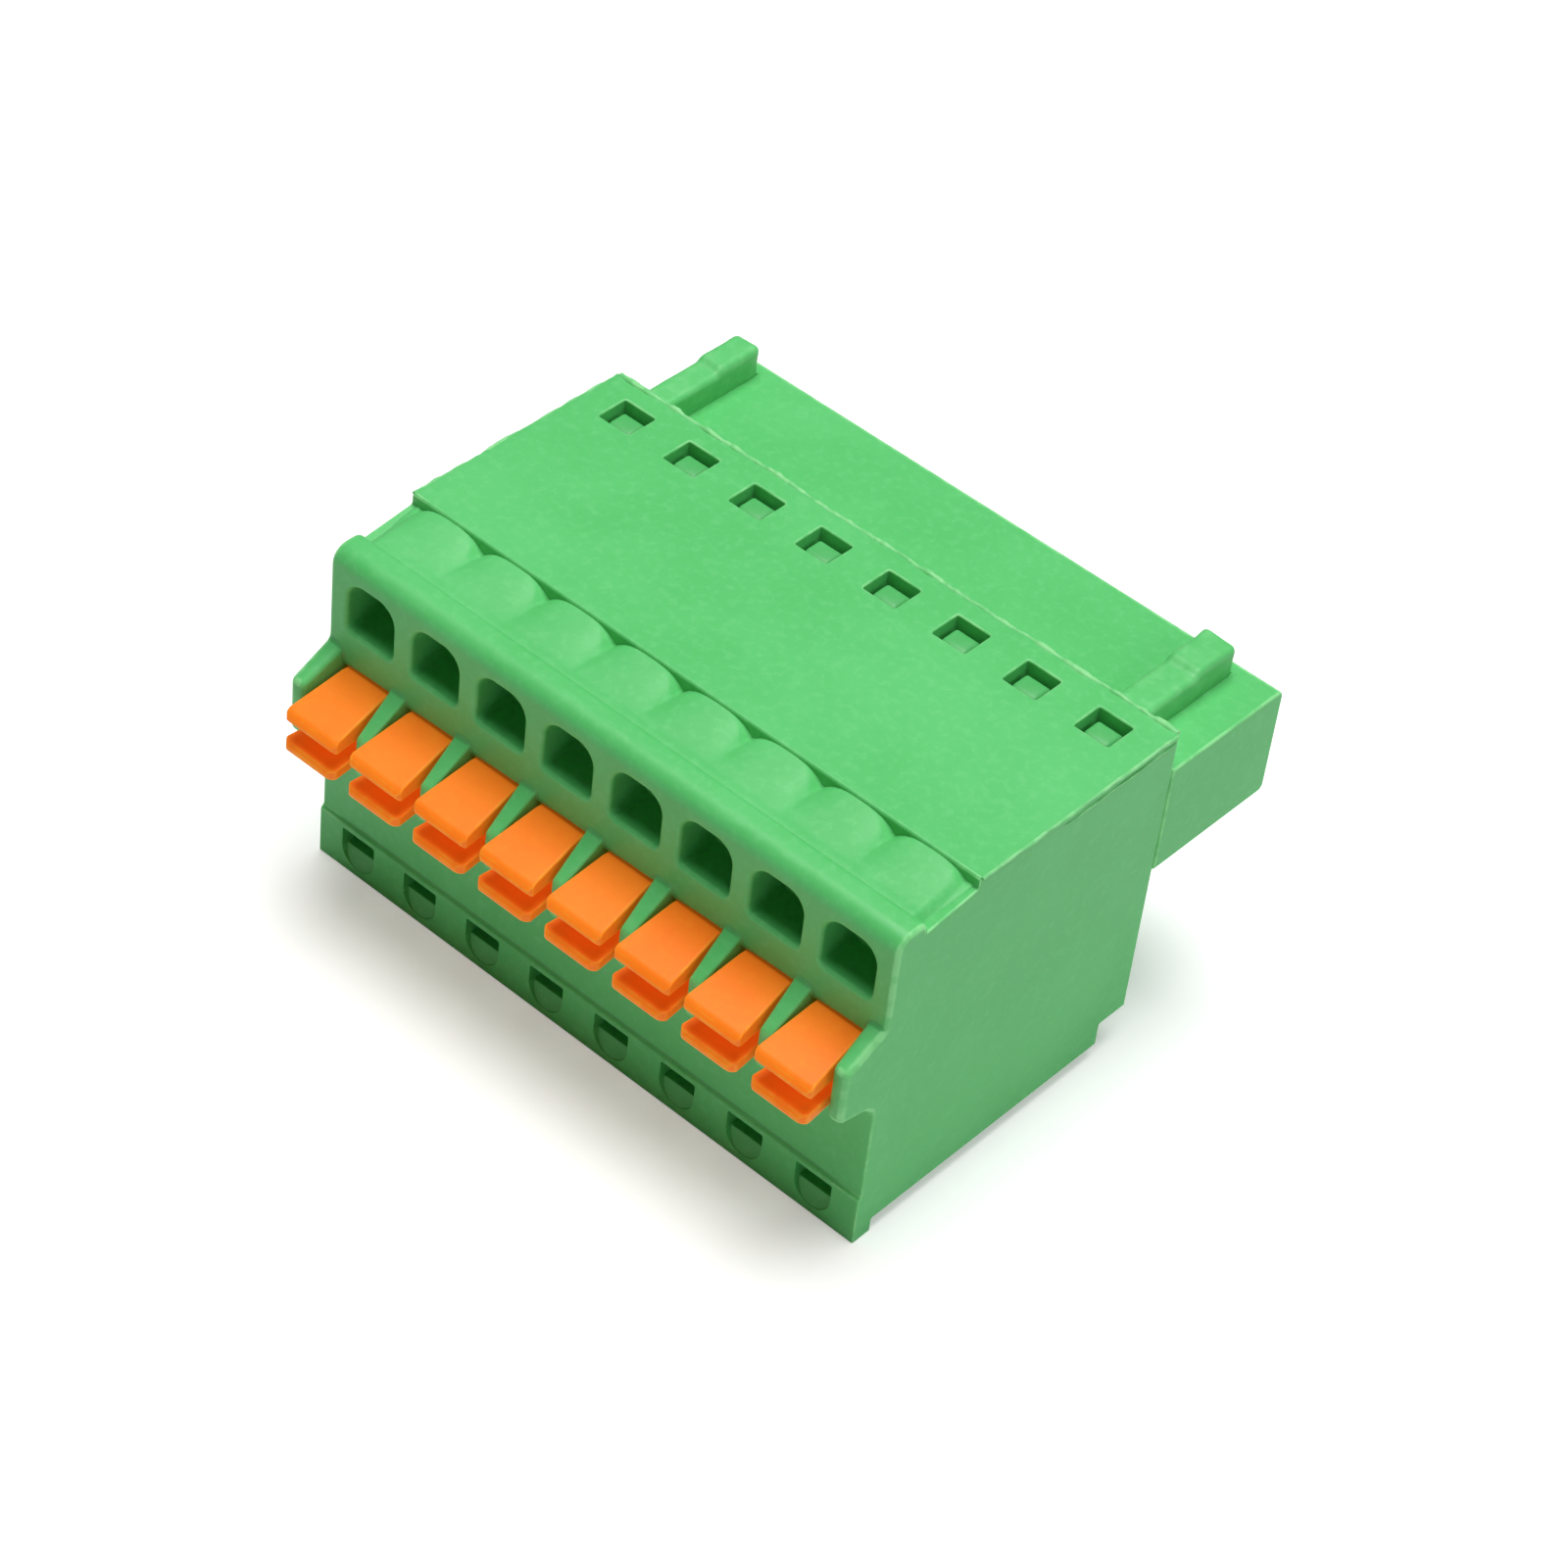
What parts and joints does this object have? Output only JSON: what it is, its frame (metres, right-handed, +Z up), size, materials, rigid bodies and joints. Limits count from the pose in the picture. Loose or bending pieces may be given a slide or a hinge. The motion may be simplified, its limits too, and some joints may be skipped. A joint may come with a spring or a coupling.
{
  "type": "pluggable terminal block",
  "caption": "Green pluggable spring-clamp terminal block with orange release buttons, wire entries along the front and a plug nose with guide ribs at the back.",
  "frame": {"origin": "centre of the overall box in X and Y, at the underside of the front lip", "axes": "+X along the row of poles, +Y from the wire entries towards the plug nose, +Z up"},
  "size_m": [0.029, 0.0258, 0.0161],
  "materials": {
    "shell_green": "moulded polyamide, green, satin",
    "nose_green": "moulded polyamide, green, satin",
    "button_orange": "moulded polyamide, orange, satin",
    "spring_steel": "stainless spring strip",
    "tinned_copper": "tinned copper, dull silver"
  },
  "bodies": {
    "housing": {"terminal_shell": "shell_green", "plug_nose": "nose_green", "clamp_spring_1": "spring_steel", "clamp_spring_2": "spring_steel", "clamp_spring_3": "spring_steel", "clamp_spring_4": "spring_steel", "clamp_spring_5": "spring_steel", "clamp_spring_6": "spring_steel", "clamp_spring_7": "spring_steel", "clamp_spring_8": "spring_steel", "pin_contact_1": "tinned_copper", "pin_contact_2": "tinned_copper", "pin_contact_3": "tinned_copper", "pin_contact_4": "tinned_copper", "pin_contact_5": "tinned_copper", "pin_contact_6": "tinned_copper", "pin_contact_7": "tinned_copper", "pin_contact_8": "tinned_copper"},
    "button_1": {"push_button_1": "button_orange"},
    "button_2": {"push_button_2": "button_orange"},
    "button_3": {"push_button_3": "button_orange"},
    "button_4": {"push_button_4": "button_orange"},
    "button_5": {"push_button_5": "button_orange"},
    "button_6": {"push_button_6": "button_orange"},
    "button_7": {"push_button_7": "button_orange"},
    "button_8": {"push_button_8": "button_orange"}
  },
  "joints": [
    {"name": "press_1", "type": "slide", "parent": "housing", "child": "button_1", "axis": [0, 1, 0], "range_m": [0, 0.00125], "stiffness_N_per_m": 800, "springref_m": -0.001, "deforming": ["clamp_spring_1"]},
    {"name": "press_2", "type": "slide", "parent": "housing", "child": "button_2", "axis": [0, 1, 0], "range_m": [0, 0.00125], "stiffness_N_per_m": 800, "springref_m": -0.001, "deforming": ["clamp_spring_2"]},
    {"name": "press_3", "type": "slide", "parent": "housing", "child": "button_3", "axis": [0, 1, 0], "range_m": [0, 0.00125], "stiffness_N_per_m": 800, "springref_m": -0.001, "deforming": ["clamp_spring_3"]},
    {"name": "press_4", "type": "slide", "parent": "housing", "child": "button_4", "axis": [0, 1, 0], "range_m": [0, 0.00125], "stiffness_N_per_m": 800, "springref_m": -0.001, "deforming": ["clamp_spring_4"]},
    {"name": "press_5", "type": "slide", "parent": "housing", "child": "button_5", "axis": [0, 1, 0], "range_m": [0, 0.00125], "stiffness_N_per_m": 800, "springref_m": -0.001, "deforming": ["clamp_spring_5"]},
    {"name": "press_6", "type": "slide", "parent": "housing", "child": "button_6", "axis": [0, 1, 0], "range_m": [0, 0.00125], "stiffness_N_per_m": 800, "springref_m": -0.001, "deforming": ["clamp_spring_6"]},
    {"name": "press_7", "type": "slide", "parent": "housing", "child": "button_7", "axis": [0, 1, 0], "range_m": [0, 0.00125], "stiffness_N_per_m": 800, "springref_m": -0.001, "deforming": ["clamp_spring_7"]},
    {"name": "press_8", "type": "slide", "parent": "housing", "child": "button_8", "axis": [0, 1, 0], "range_m": [0, 0.00125], "stiffness_N_per_m": 800, "springref_m": -0.001, "deforming": ["clamp_spring_8"]}
  ]
}
